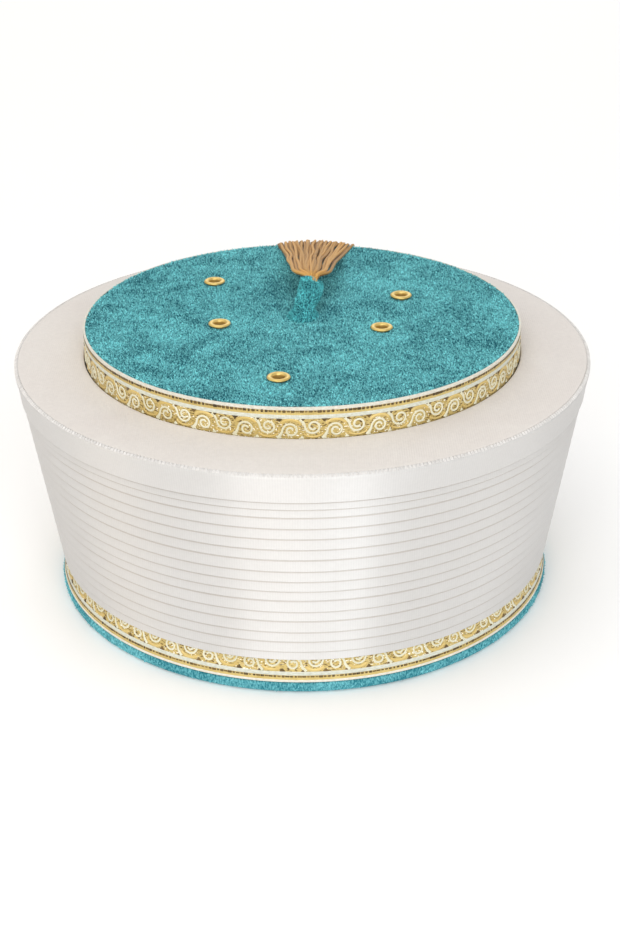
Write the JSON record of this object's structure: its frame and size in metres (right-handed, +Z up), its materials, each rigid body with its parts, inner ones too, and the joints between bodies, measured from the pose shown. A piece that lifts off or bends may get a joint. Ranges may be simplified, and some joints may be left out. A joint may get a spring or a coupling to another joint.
{
  "type": "imam turban",
  "caption": "Round velvet fez in a thick white wrap faced with overlapping satin ribbons, gold woven trims, brass eyelets in its flat crown, and a tassel from a bent velvet stem.",
  "frame": {"origin": "centre of the base rim's underside, on the surface the hat rests on", "axes": "+Z up through the crown, -Y the way the wearer looks, +X to the wearer's left"},
  "size_m": [0.2186, 0.2186, 0.1169],
  "materials": {
    "velvet": "teal cut pile velvet, matt with a soft sheen",
    "cloth": "plain weave cotton, cream, matt",
    "satin": "white satin ribbon, soft gloss",
    "trim": "woven metallic trim, gold on white",
    "brass": "bright pressed brass",
    "yarn": "tan twisted rayon cord, soft sheen"
  },
  "bodies": {
    "root": {"fez_wall": "velvet", "crown_velvet": "velvet", "velvet_stem": "velvet", "turban_wrap": "cloth", "rim_ribbon": "satin", "lower_trim": "trim", "upper_trim": "trim", "tassel": "yarn", "ribbon_course_01": "satin", "ribbon_course_02": "satin", "ribbon_course_03": "satin", "ribbon_course_04": "satin", "ribbon_course_05": "satin", "ribbon_course_06": "satin", "ribbon_course_07": "satin", "ribbon_course_08": "satin", "ribbon_course_09": "satin", "ribbon_course_10": "satin", "ribbon_course_11": "satin", "ribbon_course_12": "satin", "ribbon_course_13": "satin", "ribbon_course_14": "satin", "ribbon_course_15": "satin", "ribbon_course_16": "satin", "eyelet_front": "brass", "eyelet_left": "brass", "eyelet_back_left": "brass", "eyelet_right": "brass", "eyelet_back_right": "brass"}
  },
  "joints": []
}
